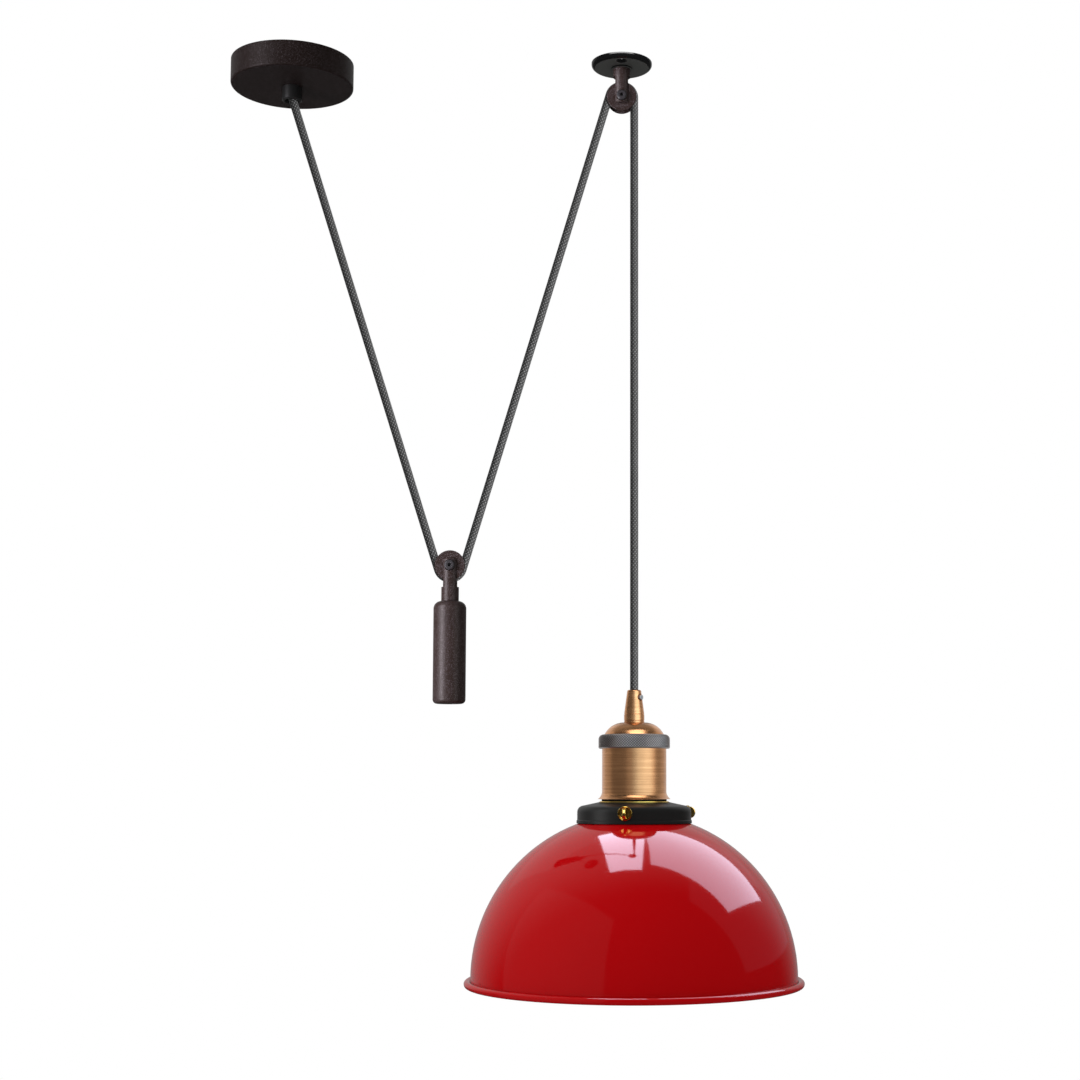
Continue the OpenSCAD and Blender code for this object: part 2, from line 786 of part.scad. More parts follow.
// The set screw stands to the front right of the grip and presses on the flex
module set_screw_place() {
    translate([0, 0, set_screw_z])
        rotate([0, 0, set_screw_turn - 90])
            rotate([0, 90, 0])
                translate([0, 0, flex_bore_r]) children();
}

module holder_grip_screw() {
    length = cone_top_d / 2 + set_screw_proud - flex_bore_r;
    color(zinc)
        at_lamp()
            set_screw_place()
                difference() {
                    translate([0, 0, -0.2]) cylinder(r = set_screw_r, h = length + 0.2);
                    translate([-3, -0.3, length - 0.8]) cube([6, 0.6, 0.8 + cut]);
                }
}

// Spun dome with a stepped flange that the knurled ring holds down
module holder_cap() {
    color(copper)
        at_lamp()
            rotate_extrude()
                difference() {
                    union() {
                        intersection() {
                            translate([cap_arc_x, cap_top - cap_arc_r]) circle(cap_arc_r);
                            translate([cap_arc_x, cap_edge - cut]) square([cap_r - cap_arc_x, cap_arc_r + cut]);
                        }
                        translate([0, cap_edge - cut]) square([cap_arc_x, cap_top - cap_edge + cut]);
                        translate([0, cap_flange_top]) square([cap_r, cap_edge - cap_flange_top]);
                        translate([0, body_top]) square([body_r, cap_flange_h]);
                    }
                    intersection() {
                        translate([cap_arc_x, cap_top - cap_arc_r]) circle(cap_arc_r - holder_wall);
                        translate([cap_arc_x, cap_edge - cut])
                            square([cap_r - holder_wall - cap_arc_x, cap_arc_r + cut]);
                    }
                    translate([0, cap_edge - cut])
                        square([cap_arc_x + flat_part, cap_top - holder_wall - cap_edge + cut]);
                    translate([0, body_top - cut]) square([cap_r - holder_wall, cap_edge - body_top + cut]);
                    translate([0, cap_edge]) square([flex_bore_r, cone_h]);
                }
}

// Outline of the knurled ring: a rounded upper edge over an upright wall
module holder_ring() {
    round_r = 3.6;
    outer_r = ring_d / 2;
    color(pewter)
        at_lamp()
            rotate_extrude()
                polygon(concat(
                    [[body_r + slip_gap, ring_bottom], [outer_r - 0.6, ring_bottom], [outer_r, ring_bottom + 0.6]],
                    arc([outer_r - round_r, cap_edge - round_r], round_r, 0, 90, 8),
                    [[cap_r + slip_gap, cap_edge], [cap_r + slip_gap, cap_flange_top],
                     [body_r + slip_gap, cap_flange_top]]
                ));
}

module holder_body() {
    color(copper)
        at_lamp()
            rotate_extrude()
                difference() {
                    union() {
                        translate([0, body_bottom]) square([body_r, body_h]);
                        difference() {
                            translate([0, body_bottom]) square([flare_r, flare_h]);
                            translate([body_r + flare_arc_r, body_bottom + flare_h]) circle(flare_arc_r);
                        }
                    }
                    translate([0, body_bottom - cut]) square([body_bore_r, body_h + 2 * cut]);
                }
}

// Porcelain body with a threaded skirt below and a deep well for the screw shell
module insulator() {
    color(porcelain)
        at_lamp()
            difference() {
                union() {
                    translate([0, 0, body_bottom]) cylinder(r = insulator_r, h = insulator_top - body_bottom);
                    translate([0, 0, skirt_bottom]) cylinder(r = skirt_r, h = skirt_h + cut);
                }
                translate([0, 0, skirt_bottom - cut])
                    cylinder(r = shell_r + shell_wall, h = socket_floor - skirt_bottom + cut);
            }
}

module screw_shell() {
    color(brass)
        at_lamp() tube(shell_r + shell_wall, shell_r, shell_bottom, shell_top);
}

// Sprung strip across the floor of the well
module centre_contact() {
    color(brass)
        at_lamp() {
            translate([-8, -3, socket_floor - contact_t]) cube([16, 6, contact_t]);
            translate([0, 0, socket_floor - contact_t - 1]) cylinder(r = 2.4, h = 1 + contact_t / 2);
        }
}

module holder_terminals() {
    color(brass)
        at_lamp()
            for (side = [-1, 1])
                difference() {
                    translate([side * terminal_x - terminal_size[0] / 2, -terminal_size[1] / 2, insulator_top])
                        cube(terminal_size);
                    translate([side * terminal_x, 0, insulator_top + 1.5]) cylinder(r = entry_r, h = terminal_size[2]);
                    translate([side * terminal_x, 0, insulator_top + 2.8])
                        rotate([90, 0, 0]) cylinder(r = terminal_screw_r + run_gap, h = terminal_size[1]);
                }
}

module terminal_clamps() {
    screw_h = terminal_size[1] / 2 - core_r;
    color(zinc)
        at_lamp()
            for (side = [-1, 1])
                translate([side * terminal_x, -core_r - run_gap, insulator_top + 2.8])
                    rotate([90, 0, 0]) cylinder(r = terminal_screw_r, h = screw_h);
}

// One core: down out of the sheath, across to its terminal and down into it
module lamp_core(turn, reach, foot) {
    length = lamp_core_high - 2 * core_bend - foot;
    start_drop = lamp_sheath_end - lamp_core_high;
    at_lamp()
        rotate([0, 0, turn]) {
            translate([0, core_step / sqrt(2), 0]) {
                translate([0, 0, lamp_core_high]) core_rod(start_drop - weld);
                translate([0, 0, lamp_core_high]) mirror([0, 0, 1]) core_elbow();
                translate([0, core_bend, lamp_core_high - core_bend])
                    rotate([-90, 0, 0]) core_rod(reach - 2 * core_bend - core_step / sqrt(2));
            }
            translate([0, reach - core_bend, lamp_core_high - core_bend]) rotate([-90, 0, 0]) core_elbow();
            translate([0, reach, foot]) core_rod(length);
        }
}

module lamp_core_live() { color(core_brown) lamp_core(90, terminal_x, insulator_top + 1.7); }
module lamp_core_neutral() { color(core_blue) lamp_core(-90, terminal_x, insulator_top + 1.7); }
module lamp_core_earth() { color(core_green) lamp_core(0, 16, insulator_top + 2.4 + weld); }

// Earth screw on the insulator's upper face, under the end of the earth core
module holder_earth_screw() {
    color(brass)
        at_lamp()
            translate([0, 16, insulator_top])
                difference() {
                    cylinder(r = 3, h = 2.4);
                    translate([-4, -0.3, 1.7]) cube([8, 0.6, 0.7 + cut]);
                }
}

// ---- gallery and shade ---------------------------------------------------------------

module neck_washer() {
    color(satin_black)
        at_lamp() tube(body_r + 0.2, skirt_r + slip_gap, gallery_top + brass_washer_t, body_bottom);
}

module brass_washer() {
    color(brass)
        at_lamp() tube(gallery_boss_r, skirt_r + slip_gap, gallery_top, gallery_top + brass_washer_t);
}

// Half outline of the gallery, drawn in by inset; the wall is two of these apart
function gallery_outline(inset) =
    let (side = gallery_side_r - inset)
    concat(
        [[0, gallery_bottom - cut], [gallery_r - inset, gallery_bottom - cut],
         [gallery_r - inset, gallery_bottom + gallery_lip_h], [side, gallery_bottom + gallery_lip_h + 0.4]],
        arc([side - gallery_fillet, gallery_top - gallery_slope_h - gallery_fillet], gallery_fillet, 0, 84, 8),
        [[gallery_boss_r - inset, gallery_top], [0, gallery_top]]
    );

module gallery_screw_places() {
    for (i = [0:2])
        translate([0, 0, thumb_z]) rotate([0, 0, screw_turn - 90 + i * 120]) rotate([0, 90, 0]) children();
}

module gallery() {
    color(satin_black)
        at_lamp()
            difference() {
                rotate_extrude()
                    difference() {
                        polygon(gallery_outline(0));
                        translate([0, -gallery_wall]) polygon(gallery_outline(gallery_wall));
                        translate([0, gallery_bottom - 2 * cut]) square([gallery_r + cut, 2 * cut]);
                        translate([0, gallery_top - 2 * gallery_wall])
                            square([skirt_r + slip_gap, 3 * gallery_wall]);
                    }
                gallery_screw_places()
                    translate([0, 0, collar_r]) cylinder(r = thumb_r + run_gap, h = gallery_r - collar_r + cut);
            }
}

// Ring nut with four finger notches, screwed up the skirt under the gallery
module gallery_nut() {
    top = gallery_top - gallery_wall;
    color(satin_black)
        at_lamp()
            difference() {
                tube(ring_nut_r, skirt_r + thread_gap, top - ring_nut_h, top);
                for (i = [0:3])
                    rotate([0, 0, 45 + 90 * i])
                        translate([ring_nut_r - 1.8, -2, top - ring_nut_h - cut])
                            cube([4, 4, ring_nut_h + 2 * cut]);
            }
}

// Thumb screws: a tip on the collar, a round shoulder outside and a flat upright paddle
module gallery_screws() {
    tip = collar_r + run_gap;
    face = gallery_side_r + run_gap;
    paddle_end = face + thumb_disc_t + thumb_paddle[1];
    color(brass)
        at_lamp()
            gallery_screw_places() {
                translate([0, 0, tip]) cylinder(r = thumb_r, h = face - tip + cut);
                translate([0, 0, face]) cylinder(r = thumb_disc_r, h = thumb_disc_t);
                intersection() {
                    translate([-thumb_paddle[2] / 2, -thumb_paddle[0] / 2, face])
                        cube([thumb_paddle[2], thumb_paddle[0], paddle_end - face]);
                    translate([0, thumb_paddle[0], face + thumb_disc_t + 0.9])
                        rotate([90, 0, 0]) cylinder(r = thumb_paddle[2] / 2, h = 2 * thumb_paddle[0]);
                }
            }
}

// Spun dome with a lipped collar above and a rolled bead round its rim
module shade() {
    collar_top = collar_lip_bottom + collar_lip_h;
    collar_foot = dome_z + sqrt(pow(dome_r - shade_wall / 2, 2) - pow(collar_r, 2));
    color(enamel_red)
        at_lamp()
            rotate_extrude() {
                difference() {
                    translate([0, dome_z]) circle(dome_r, $fn = 256);
                    translate([0, dome_z]) circle(dome_r - shade_wall, $fn = 256);
                    translate([-dome_r - cut, dome_z - dome_r - cut]) square([dome_r + cut, 2 * dome_r + 2 * cut]);
                    translate([0, dome_z - dome_r - cut]) square([dome_r + cut, dome_r + cut]);
                    translate([0, dome_z]) square([collar_r - shade_wall, dome_r + cut]);
                }
                translate([dome_r - shade_wall, dome_z - bead_drop]) square([shade_wall, bead_drop]);
                translate([bead_centre_r, dome_z - bead_drop]) circle(bead_r);
                translate([collar_r - shade_wall, collar_foot]) square([shade_wall, collar_top - collar_foot]);
                translate([collar_r - shade_wall, collar_lip_bottom])
                    square([shade_wall + collar_lip, collar_lip_h]);
            }
}

// ---- one line per node ---------------------------------------------------------------

rose_cup();
rose_strap();
rose_nipple();
rose_locknuts();
rose_earth_screw();
rose_grip();
rose_grip_screw();
terminal_block();
terminal_screws();
rose_core_live();
rose_core_neutral();
rose_core_earth();
pulley_plate();
plate_screw();
upper_fork();
upper_axle_screw();
upper_axle_nut();
upper_sleeve();
upper_wheel();
flex_tail();
flex_rose_arm();
flex_lower_loop();
flex_rising_arm();
flex_upper_loop();
flex_drop();
flex_lamp_tail();
lower_fork();
lower_axle_screw();
lower_axle_nut();
lower_sleeve();
lower_wheel();
weight_barrel();
weight_slug();
weight_plug();
holder_grip();
holder_grip_screw();
holder_cap();
holder_ring();
holder_body();
insulator();
screw_shell();
centre_contact();
holder_terminals();
terminal_clamps();
lamp_core_live();
lamp_core_neutral();
lamp_core_earth();
holder_earth_screw();
neck_washer();
brass_washer();
gallery();
gallery_nut();
gallery_screws();
shade();
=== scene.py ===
"""Looks for a rise and fall pendant: powder-coated rose, pulleys and counterweight, a braided
flex, a brushed copper lampholder with a knurled ring, and a red enamel dome shade.

Metres, in the frame of the CAD model: the origin is the centre of the rose's ceiling face,
+Z is up, +X runs from the rose to the ceiling pulley, and the flex lies in the plane y = 0.
"""
import json
import math

import bpy
import numpy as np
from mathutils import Matrix, Vector


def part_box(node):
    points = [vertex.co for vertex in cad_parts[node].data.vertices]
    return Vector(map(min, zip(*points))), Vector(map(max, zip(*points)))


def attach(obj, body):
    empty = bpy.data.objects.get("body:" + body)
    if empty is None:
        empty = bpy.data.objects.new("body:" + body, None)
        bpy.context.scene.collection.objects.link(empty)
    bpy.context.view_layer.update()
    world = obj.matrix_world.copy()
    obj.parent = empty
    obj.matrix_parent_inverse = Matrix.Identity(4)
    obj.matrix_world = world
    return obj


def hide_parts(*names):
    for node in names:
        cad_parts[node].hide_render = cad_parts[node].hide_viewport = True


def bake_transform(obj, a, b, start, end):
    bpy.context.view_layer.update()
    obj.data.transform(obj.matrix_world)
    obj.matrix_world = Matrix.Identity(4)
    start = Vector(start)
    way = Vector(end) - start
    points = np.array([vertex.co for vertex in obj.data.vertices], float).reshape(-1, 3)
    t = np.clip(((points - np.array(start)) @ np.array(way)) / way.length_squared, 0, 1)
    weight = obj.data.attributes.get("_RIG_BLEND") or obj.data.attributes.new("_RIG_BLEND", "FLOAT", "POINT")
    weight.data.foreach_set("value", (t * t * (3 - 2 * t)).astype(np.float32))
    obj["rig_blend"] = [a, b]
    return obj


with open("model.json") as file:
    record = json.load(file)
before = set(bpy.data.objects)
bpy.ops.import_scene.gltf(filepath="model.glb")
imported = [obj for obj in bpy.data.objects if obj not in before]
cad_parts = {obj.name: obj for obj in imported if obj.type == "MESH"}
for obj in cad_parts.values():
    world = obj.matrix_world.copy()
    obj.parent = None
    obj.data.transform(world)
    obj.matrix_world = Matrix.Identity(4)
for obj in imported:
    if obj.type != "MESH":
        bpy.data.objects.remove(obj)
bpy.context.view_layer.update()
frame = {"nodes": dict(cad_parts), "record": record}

# ---- sizes ---------------------------------------------------------------------------

MM = 0.001

# Flex
FLEX_R = 3.05 * MM
RUN_R = 9.5 * MM            # radius at which its middle runs round a wheel
TAIL_BEND_R = 18 * MM
TAIL_BEND_DROP = 5.2 * MM   # from the rose's underside to the start of the bend
BRAID_STEP = 0.26 * MM      # length between rings of the modelled braid
BRAID_SEGMENTS = 64
BRAID_CARRIERS = 14         # threads each way round
BRAID_PITCH = 1.45 * MM     # length in which the pattern moves on by one thread
BRAID_RELIEF = 0.16 * MM
BRAID_PROUD = 0.03 * MM     # of the threads' crests above the flex's radius

# Flex that lies before each length, in metres, so that the braid's pattern runs on
ROSE_ARM_FROM = 0.0213
LOWER_LOOP_FROM = 0.397
RISING_ARM_FROM = 0.421
UPPER_LOOP_FROM = 0.8
DROP_FROM = 0.839
LAMP_TAIL_FROM = 1.28

# Knurled ring
KNURL_COUNT = 84
KNURL_PITCH = 1.9 * MM
KNURL_DEPTH = 0.42 * MM
KNURL_SEGMENTS = KNURL_COUNT * 8
KNURL_ROW = 0.2 * MM
KNURL_FLAT = 0.2            # share of a diamond that is flat on top
KNURL_PLAIN = 0.75          # brightness of the plain faces, where 1 is a crest's
RING_ROUND_R = 3.6 * MM
RING_CHAMFER = 0.6 * MM
RING_BORE_R = 23.8 * MM
RING_LIP_R = 22.0 * MM
RING_LIP_H = 1.8 * MM

# Thumb screws
THUMB_COUNT = 3
THUMB_TURN = -9             # degrees by which the front screw stands to the left
THUMB_FACE = 41.75 * MM     # from the lamp's axis to the back of a disc
THUMB_SHANK_R = 1.7 * MM
THUMB_SHANK = 2.6 * MM
THUMB_DISC_R = 5.2 * MM
THUMB_DISC_T = 1.3 * MM
THUMB_EDGE = 0.2 * MM       # chamfer round a disc's back
THUMB_SEGMENTS = 72
THUMB_PADDLE_R = 4.3 * MM
THUMB_PADDLE_HALF = 1.3 * MM
THUMB_PADDLE_OUT = 6.5 * MM
THUMB_PADDLE_ROUND = 0.7 * MM

# Rim and dish of a disc's front: mm in from its edge, and mm down from its top
THUMB_FRONT = [
    (0, 0.35), (0.12, 0.12), (0.4, 0), (0.75, 0.15), (1.1, 0.5), (1.6, 0.55), (4.6, 0.55),
]

# Shade
DOME_R = 118.6 * MM         # outside
DOME_RISE = 5.8 * MM        # from the shade's lowest point up to the dome's centre
HALF_WALL = 0.5 * MM

# Camera: the photograph is square, and 1080 wide
PHOTO_SIZE = 1080
FOCAL_PX = 1850.0
CAMERA_AT = (0.260, -1.3623, -0.5459)
CAMERA_PITCH = 5.53
PRINCIPAL_PX = (634.2, 604.8)

FLOOR_Z = -2.4
FLOOR_HALF = 14.0

# Lights
PLAIN = (1, 1, 1)
DAYLIGHT = (0.78, 0.80, 1.0)
COOL = (0.70, 0.88, 1.0)
STRIP_DISTANCE = 1.5
STRIP_HEIGHT = 2.6


def middle(node):
    low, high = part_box(node)
    return (low + high) / 2


def xz(point):
    return np.array([point[0], point[2]])


# ---- places taken from the frame -------------------------------------------------------

upper_axle = xz(middle("upper_wheel"))
lower_axle = xz(middle("lower_wheel"))
lamp_axis = middle("holder_body")
rose_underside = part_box("rose_cup")[0].z
dome = (lamp_axis.x, 0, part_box("shade")[0].z + DOME_RISE)

# ---- camera ----------------------------------------------------------------------------

camera = bpy.data.objects.new("camera", bpy.data.cameras.new("camera"))
bpy.context.scene.collection.objects.link(camera)
bpy.context.scene.camera = camera
camera.location = CAMERA_AT
camera.rotation_euler = (math.radians(90 + CAMERA_PITCH), 0, 0)
camera.data.sensor_width = 36
camera.data.lens = FOCAL_PX / PHOTO_SIZE * camera.data.sensor_width
camera.data.shift_x = 0.5 - PRINCIPAL_PX[0] / PHOTO_SIZE
camera.data.shift_y = PRINCIPAL_PX[1] / PHOTO_SIZE - 0.5
camera.data.clip_start = 0.05
camera.data.clip_end = 60

# ---- shader helpers --------------------------------------------------------------------


def new_material(name):
    material = bpy.data.materials.new(name)
    material.use_nodes = True
    return material, material.node_tree, material.node_tree.nodes["Principled BSDF"]


def add(tree, kind, inputs=None, **settings):
    """A node with its settings, and its sockets linked or set."""
    node = tree.nodes.new("ShaderNode" + kind)
    for name, value in settings.items():
        setattr(node, name, value)
    for key, value in (inputs or {}).items():
        if isinstance(value, bpy.types.NodeSocket):
            tree.links.new(value, node.inputs[key])
        else:
            node.inputs[key].default_value = value
    return node


def put(tree, bsdf, **values):
    """Sets or links sockets of the surface shader; an underscore stands for a space."""
    for name, value in values.items():
        socket = bsdf.inputs[name.replace("_", " ")]
        if isinstance(value, bpy.types.NodeSocket):
            tree.links.new(value, socket)
        else:
            socket.default_value = value


def math_node(tree, operation, a, b=0.0):
    return add(tree, "Math", {0: a, 1: b}, operation=operation).outputs[0]


def place(tree, scale=(1, 1, 1)):
    """Rest position in metres, stretched by scale."""
    coordinate = add(tree, "TexCoord").outputs["Object"]
    return add(tree, "Mapping", {"Vector": coordinate, "Scale": scale}).outputs["Vector"]


def noise(tree, scale, detail=3.0, roughness=0.5, stretch=(1, 1, 1)):
    vector = place(tree, stretch)
    inputs = {"Vector": vector, "Scale": scale, "Detail": detail, "Roughness": roughness}
    return add(tree, "TexNoise", inputs).outputs["Fac"]


def span(tree, value, low, high):
    """Maps 0..1 to low..high."""
    return add(tree, "MapRange", {"Value": value, "To Min": low, "To Max": high}).outputs[0]


def mix_colour(tree, factor, a, b):
    node = add(tree, "Mix", {"Factor": factor}, data_type="RGBA")
    for index, value in ((6, a), (7, b)):
        if isinstance(value, bpy.types.NodeSocket):
            tree.links.new(value, node.inputs[index])
        else:
            node.inputs[index].default_value = (*value, 1)
    return node.outputs[2]


def relief(tree, bsdf, height, depth, strength=1.0, edge=0.25 * MM):
    """Surface relief over slightly rounded edges."""
    rounded = add(tree, "Bevel", {"Radius": edge}, samples=4).outputs[0]
    inputs = {"Height": height, "Distance": depth, "Strength": strength, "Normal": rounded}
    put(tree, bsdf, Normal=add(tree, "Bump", inputs).outputs[0])


# ---- materials -------------------------------------------------------------------------


def powder_coat():
    material, tree, bsdf = new_material("bronze_coat")
    grain = noise(tree, 1500, 4, 0.65)
    drift = noise(tree, 45, 2)
    spots = {"Value": noise(tree, 2600, 1), "From Min": 0.57, "From Max": 0.72}
    fleck = add(tree, "MapRange", spots).outputs[0]
    base = mix_colour(tree, drift, (0.0108, 0.0055, 0.0039), (0.0152, 0.0080, 0.0060))
    base = mix_colour(tree, fleck, base, (0.095, 0.08, 0.088))
    put(tree, bsdf, Base_Color=base, Metallic=0.1, Roughness=span(tree, grain, 0.34, 0.52))
    put(tree, bsdf, Specular_IOR_Level=0.16)
    relief(tree, bsdf, grain, 0.12 * MM, 0.5)
    return material


def gloss_plate():
    """Gloss lacquer, matt on its flat underside, where it is also painted a lighter grey as a painted
    reflection.
    """
    material, tree, bsdf = new_material("gloss_black")
    normal = add(tree, "NewGeometry").outputs["Normal"]
    down = add(tree, "SeparateXYZ", {0: normal}).outputs[2]
    flat = add(tree, "MapRange", {"Value": down, "From Min": -0.97, "From Max": -0.995}).outputs[0]
    grain = noise(tree, 1700, 3)
    # Painted reflection: the flat underside is painted a lighter grey than the near black of the rest.
    base = mix_colour(tree, flat, (0.006, 0.006, 0.0065), (0.072, 0.075, 0.07))
    put(tree, bsdf, Base_Color=base, Roughness=span(tree, flat, 0.1, 0.5))
    relief(tree, bsdf, grain, 0.02 * MM, 0.3)
    return material


def lacquer(name, dark, light, rough, grain_scale=900, depth=0.02):
    material, tree, bsdf = new_material(name)
    grain = noise(tree, grain_scale, 4)
    put(tree, bsdf, Base_Color=mix_colour(tree, noise(tree, 60, 2), dark, light))
    put(tree, bsdf, Roughness=span(tree, grain, rough - 0.07, rough + 0.09))
    relief(tree, bsdf, grain, depth * MM, 0.4)
    return material


def metal(name, dark, light, rough, lines=(1, 1, 1), depth=0.01, edge=0.2, patches=70):
    """Bare or plated metal; lines stretches its scratches."""
    material, tree, bsdf = new_material(name)
    scratch = noise(tree, 900, 4, 0.7, lines)
    tarnish = noise(tree, patches, 3, 0.6)
    put(tree, bsdf, Base_Color=mix_colour(tree, tarnish, dark, light), Metallic=1.0)
    put(tree, bsdf, Roughness=span(tree, scratch, rough - 0.08, rough + 0.12))
    relief(tree, bsdf, scratch, depth * MM, 0.6, edge * MM)
    return material


def brushed_copper():
    """Lathe-brushed plate: fine level lines, with darker antique bands among them."""
    material, tree, bsdf = new_material("copper")
    fine = noise(tree, 1000, 3, 0.7, (0.03, 0.03, 3.2))
    broad = noise(tree, 260, 4, 0.7, (0.05, 0.05, 3))
    cloud = noise(tree, 55, 3, 0.6)
    worn = mix_colour(tree, span(tree, broad, -0.5, 1.5), (0.41, 0.187, 0.077), (0.79, 0.405, 0.19))
    base = mix_colour(tree, span(tree, cloud, -0.2, 0.7), worn, (0.36, 0.165, 0.074))
    put(tree, bsdf, Base_Color=base, Metallic=1.0, Anisotropic=0.7)
    put(tree, bsdf, Roughness=span(tree, fine, 0.14, 0.32))
    put(tree, bsdf, Tangent=add(tree, "Tangent", direction_type="RADIAL", axis="Z").outputs[0])
    relief(tree, bsdf, fine, 0.012 * MM, 0.4, 0.15 * MM)
    return material


def knurled_pewter():
    """Crests painted bright and grooves painted near black as a painted shade in the grooves, from the depth
    kept on the mesh.
    """
    material, tree, bsdf = new_material("pewter")
    crest = add(tree, "Attribute", attribute_name="crest").outputs["Fac"]
    grain = noise(tree, 1600, 3)
    # Painted shade: the colour runs from near black in the grooves to bright pewter on the crests.
    base = mix_colour(tree, crest, (0.006, 0.005, 0.005), (0.47, 0.43, 0.42))
    put(tree, bsdf, Base_Color=base, Metallic=1.0, Roughness=span(tree, grain, 0.24, 0.4))
    relief(tree, bsdf, grain, 0.02 * MM, 0.4, 0.1 * MM)
    return material


def braid():
    """Braided sleeve: u counts threads round the flex, v counts them along it."""
    material, tree, bsdf = new_material("braid")
    uv = add(tree, "SeparateXYZ", {0: add(tree, "UVMap", uv_map="braid").outputs[0]})
    u, v = uv.outputs[0], uv.outputs[1]
    right = math_node(tree, "ADD", u, v)
    left = math_node(tree, "SUBTRACT", u, v)
    right_thread = math_node(tree, "FLOOR", right)
    left_thread = math_node(tree, "FLOOR", left)
    over = math_node(tree, "FLOORED_MODULO", math_node(tree, "ADD", right_thread, left_thread), 2.0)
    pale = math_node(tree, "FLOORED_MODULO", left_thread, 2.0)
    lit = math_node(tree, "MULTIPLY", over, pale)
    across_right = math_node(tree, "PINGPONG", right, 0.5)
    across_left = math_node(tree, "PINGPONG", left, 0.5)
    ridge = add(tree, "Mix", {"Factor": over, 2: across_right, 3: across_left}).outputs[0]
    fibre = noise(tree, 5200, 3, 0.7)
    thread = mix_colour(tree, lit, (0.005, 0.005, 0.0052), (0.120, 0.120, 0.122))
    # Painted shade between threads: through ridge the colour darkens from each thread's middle to its edges,
    # on top of the fibres' random tone.
    worn = math_node(tree, "MULTIPLY", span(tree, fibre, 0.35, 1.3), span(tree, ridge, 0.35, 2.2))
    dark = mix_colour(tree, math_node(tree, "MINIMUM", worn, 1.0), (0.004, 0.004, 0.004), thread)
    put(tree, bsdf, Base_Color=dark, Roughness=0.62, Sheen_Weight=0.25, Sheen_Roughness=0.4)
    height = math_node(tree, "ADD", ridge, math_node(tree, "MULTIPLY", fibre, 0.35))
    bump = add(tree, "Bump", {"Height": height, "Distance": 0.35 * MM, "Strength": 0.7})
    put(tree, bsdf, Normal=bump.outputs[0])
    return material


def enamel():
    """Gloss red outside and gloss white inside, split midway through the shade's wall."""
    material, tree, bsdf = new_material("red_enamel")
    position = add(tree, "TexCoord").outputs["Object"]
    offset = add(tree, "VectorMath", {0: position, 1: dome}, operation="SUBTRACT").outputs[0]
    reach = add(tree, "VectorMath", {0: offset}, operation="LENGTH").outputs["Value"]
    outside = math_node(tree, "GREATER_THAN", reach, DOME_R - HALF_WALL)
    depth = noise(tree, 16, 2)
    coat = mix_colour(tree, depth, (0.418, 0.0011, 0.0026), (0.446, 0.0015, 0.0031))
    put(tree, bsdf, Base_Color=mix_colour(tree, outside, (0.82, 0.82, 0.80), coat))
    ripple = noise(tree, 55, 2)
    put(tree, bsdf, Roughness=span(tree, noise(tree, 300, 3), 0.05, 0.09), IOR=1.5)
    bump = add(tree, "Bump", {"Height": ripple, "Distance": 0.25 * MM, "Strength": 0.12})
    put(tree, bsdf, Normal=bump.outputs[0])
    return material


def moulding(name, dark, light, rough, gloss=0.0):
    material, tree, bsdf = new_material(name)
    grain = noise(tree, 1300, 3)
    put(tree, bsdf, Base_Color=mix_colour(tree, noise(tree, 90, 3), dark, light))
    put(tree, bsdf, Roughness=span(tree, grain, rough - 0.05, rough + 0.07), Coat_Weight=gloss)
    relief(tree, bsdf, grain, 0.02 * MM, 0.3)
    return material


TURNED = (0.05, 0.05, 3)
MATERIALS = {
    "bronze_coat": powder_coat(),
    "gloss_black": gloss_plate(),
    "satin_black": lacquer("satin_black", (0.013, 0.0135, 0.013), (0.021, 0.0215, 0.021), 0.36),
    "black_oxide": lacquer("black_oxide", (0.010, 0.009, 0.010), (0.022, 0.020, 0.022), 0.34, 1400),
    "zinc": metal("zinc", (0.52, 0.53, 0.55), (0.78, 0.79, 0.81), 0.3),
    "brass": metal("brass", (0.55, 0.34, 0.06), (0.86, 0.6, 0.17), 0.16, TURNED),
    "copper": brushed_copper(),
    "pewter": knurled_pewter(),
    "braid": braid(),
    "porcelain": moulding("porcelain", (0.72, 0.70, 0.64), (0.82, 0.81, 0.76), 0.18, 0.5),
    "terminal_nylon": moulding("terminal_nylon", (0.70, 0.69, 0.63), (0.80, 0.79, 0.74), 0.4),
    "nylon_black": moulding("nylon_black", (0.008, 0.008, 0.008), (0.018, 0.018, 0.018), 0.42),
    "core_brown": moulding("core_brown", (0.11, 0.035, 0.012), (0.15, 0.05, 0.018), 0.4),
    "core_blue": moulding("core_blue", (0.01, 0.06, 0.42), (0.015, 0.085, 0.55), 0.4),
    "core_green": moulding("core_green", (0.06, 0.32, 0.02), (0.09, 0.42, 0.03), 0.4),
    "fibre": moulding("fibre", (0.006, 0.006, 0.006), (0.014, 0.014, 0.014), 0.7),
    "ballast": metal("ballast", (0.09, 0.09, 0.1), (0.16, 0.165, 0.18), 0.6, depth=0.08),
    "red_enamel": enamel(),
}

for part in frame["record"]["subparts"]:
    node = frame["nodes"][part["node"]]
    node.data.materials.clear()
    node.data.materials.append(MATERIALS[part["material_slot"]])

# ---- braided flex ----------------------------------------------------------------------


def new_mesh(name, vertices, faces, slot, smooth=True):
    mesh = bpy.data.meshes.new(name)
    mesh.from_pydata([tuple(v) for v in vertices], [], faces)
    mesh.update()
    if smooth:
        mesh.shade_smooth()
    else:
        mesh.shade_flat()
    piece = bpy.data.objects.new(name, mesh)
    bpy.context.scene.collection.objects.link(piece)
    mesh.materials.append(MATERIALS[slot])
    return piece


def quads(rows, columns, rows_close=False, columns_close=True):
    """Faces of a grid of points that are numbered row by row."""
    faces = []
    for i in range(rows if rows_close else rows - 1):
        n = (i + 1) % rows
        for j in range(columns if columns_close else columns - 1):
            k = (j + 1) % columns
            faces.append((i * columns + j, i * columns + k, n * columns + k, n * columns + j))
    return faces


